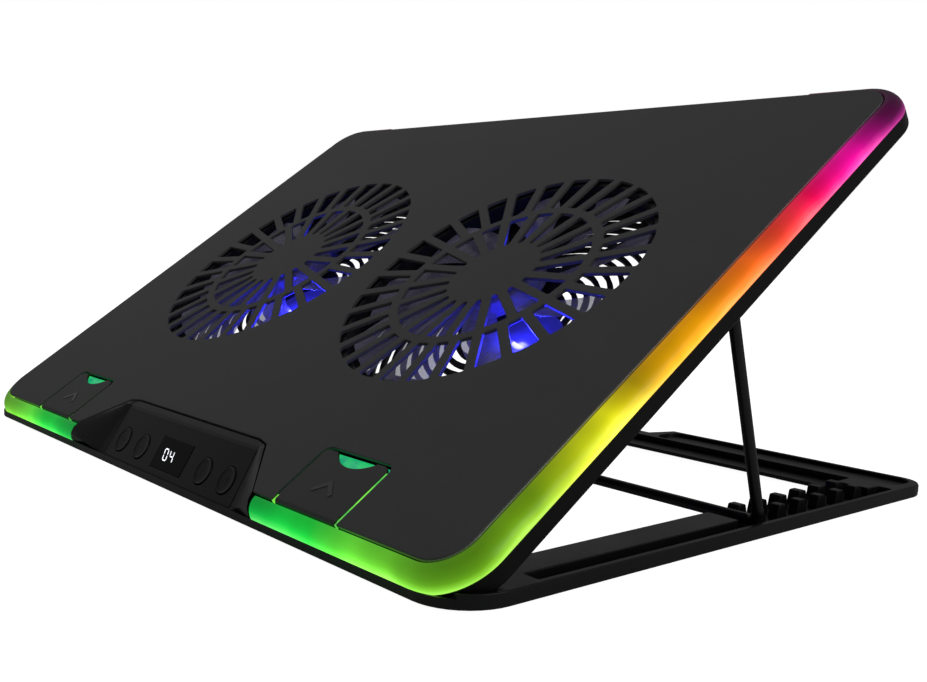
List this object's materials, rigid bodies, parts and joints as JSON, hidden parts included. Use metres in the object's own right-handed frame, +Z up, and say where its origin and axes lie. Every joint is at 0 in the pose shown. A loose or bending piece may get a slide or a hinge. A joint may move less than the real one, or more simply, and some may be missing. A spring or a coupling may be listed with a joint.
{
  "type": "laptop cooling pad",
  "caption": "Tilting laptop stand: a slim deck with round grilles over fans, a lit rim, a sunken button panel and flip-up stoppers, on a notched frame with a folding wire prop.",
  "frame": {"origin": "centre of the bounding box at table height, the undersides of the feet", "axes": "+Z up; the low front edge with the buttons faces -Y, the raised back edge is towards +Y, and +X is to the right for someone facing the panel"},
  "size_m": [0.396, 0.2606, 0.1703],
  "materials": {
    "plate_black": "fine matt black coating",
    "shell_black": "fine matt texture",
    "panel_gloss": "semi-gloss",
    "window_gloss": "polished dark window",
    "guide_glow": "frosted and lit, its colour changing round the rim",
    "stopper_glow": "frosted and lit green",
    "fan_smoke": "smoked clear plastic",
    "fan_black": "moulded",
    "led_blue": "lit blue",
    "led_strip": "white flexible board",
    "board_green": "green circuit board",
    "steel": "plain steel",
    "prop_black": "black coated wire",
    "rubber": "matt",
    "digit_white": "lit white",
    "cable_black": "matt"
  },
  "bodies": {
    "base": {"base_frame": "shell_black", "front_left_foot": "rubber", "front_right_foot": "rubber", "rear_left_foot": "rubber", "rear_right_foot": "rubber", "left_hinge_pin": "steel", "right_hinge_pin": "steel"},
    "deck": {"bottom_shell": "shell_black", "button_switch_1": "fan_black", "button_switch_2": "fan_black", "button_switch_3": "fan_black", "button_switch_4": "fan_black", "case_screw_1": "steel", "case_screw_2": "steel", "case_screw_3": "steel", "case_screw_4": "steel", "case_screw_5": "steel", "case_screw_6": "steel", "control_bezel": "panel_gloss", "control_board": "board_green", "display_module": "digit_white", "display_window": "window_gloss", "left_fan_cable": "cable_black", "left_fan_frame": "fan_black", "left_fan_light": "led_blue", "left_fan_motor": "fan_black", "left_led_strip": "led_strip", "left_light_guide": "guide_glow", "left_prop_bracket": "shell_black", "left_stopper_light": "stopper_glow", "left_stopper_pin": "steel", "main_cable": "cable_black", "right_fan_cable": "cable_black", "right_fan_frame": "fan_black", "right_fan_light": "led_blue", "right_fan_motor": "fan_black", "right_led_strip": "led_strip", "right_light_guide": "guide_glow", "right_prop_bracket": "shell_black", "right_stopper_light": "stopper_glow", "right_stopper_pin": "steel", "top_plate": "plate_black", "usb_board": "board_green", "usb_socket_1": "steel", "usb_socket_2": "steel"},
    "prop": {"prop_wire": "prop_black"},
    "left_fan": {"left_fan_rotor": "fan_smoke"},
    "right_fan": {"right_fan_rotor": "fan_smoke"},
    "left_flap": {"left_stopper": "plate_black"},
    "right_flap": {"right_stopper": "plate_black"},
    "key_1": {"button_1": "panel_gloss"},
    "key_2": {"button_2": "panel_gloss"},
    "key_3": {"button_3": "panel_gloss"},
    "key_4": {"button_4": "panel_gloss"}
  },
  "joints": [
    {"name": "deck_tilt", "type": "hinge", "parent": "base", "child": "deck", "pos_m": [0, -0.10975, 0.0074], "axis": [1, 0, 0], "range_deg": [-34.7, 0]},
    {"name": "prop_fold", "type": "hinge", "parent": "base", "child": "prop", "pos_m": [0, 0.01875, 0.0048], "axis": [1, 0, 0], "range_deg": [-106, 0]},
    {"name": "left_fan_spin", "type": "hinge", "parent": "deck", "child": "left_fan", "pos_m": [-0.0808, -0.01139, 0.08475], "axis": [0, -0.5693, 0.8221], "continuous": true},
    {"name": "right_fan_spin", "type": "hinge", "parent": "deck", "child": "right_fan", "pos_m": [0.0808, -0.01139, 0.08475], "axis": [0, -0.5693, 0.8221], "continuous": true},
    {"name": "left_stopper_lift", "type": "hinge", "parent": "deck", "child": "left_flap", "pos_m": [-0.1142, -0.12441, 0.01294], "axis": [1, 0, 0], "range_deg": [0, 100]},
    {"name": "right_stopper_lift", "type": "hinge", "parent": "deck", "child": "right_flap", "pos_m": [0.1142, -0.12441, 0.01294], "axis": [1, 0, 0], "range_deg": [0, 100]},
    {"name": "button_1_press", "type": "slide", "parent": "deck", "child": "key_1", "axis": [0, -0.8581, 0.5135], "range_m": [-0.0005, 0], "stiffness_N_per_m": 900, "springref_m": 0.0003},
    {"name": "button_2_press", "type": "slide", "parent": "deck", "child": "key_2", "axis": [0, -0.8581, 0.5135], "range_m": [-0.0005, 0], "stiffness_N_per_m": 900, "springref_m": 0.0003},
    {"name": "button_3_press", "type": "slide", "parent": "deck", "child": "key_3", "axis": [0, -0.8581, 0.5135], "range_m": [-0.0005, 0], "stiffness_N_per_m": 900, "springref_m": 0.0003},
    {"name": "button_4_press", "type": "slide", "parent": "deck", "child": "key_4", "axis": [0, -0.8581, 0.5135], "range_m": [-0.0005, 0], "stiffness_N_per_m": 900, "springref_m": 0.0003}
  ],
  "couplings": [
    {"joint": "prop_fold", "follows": "deck_tilt", "ratio": 3.0519}
  ]
}
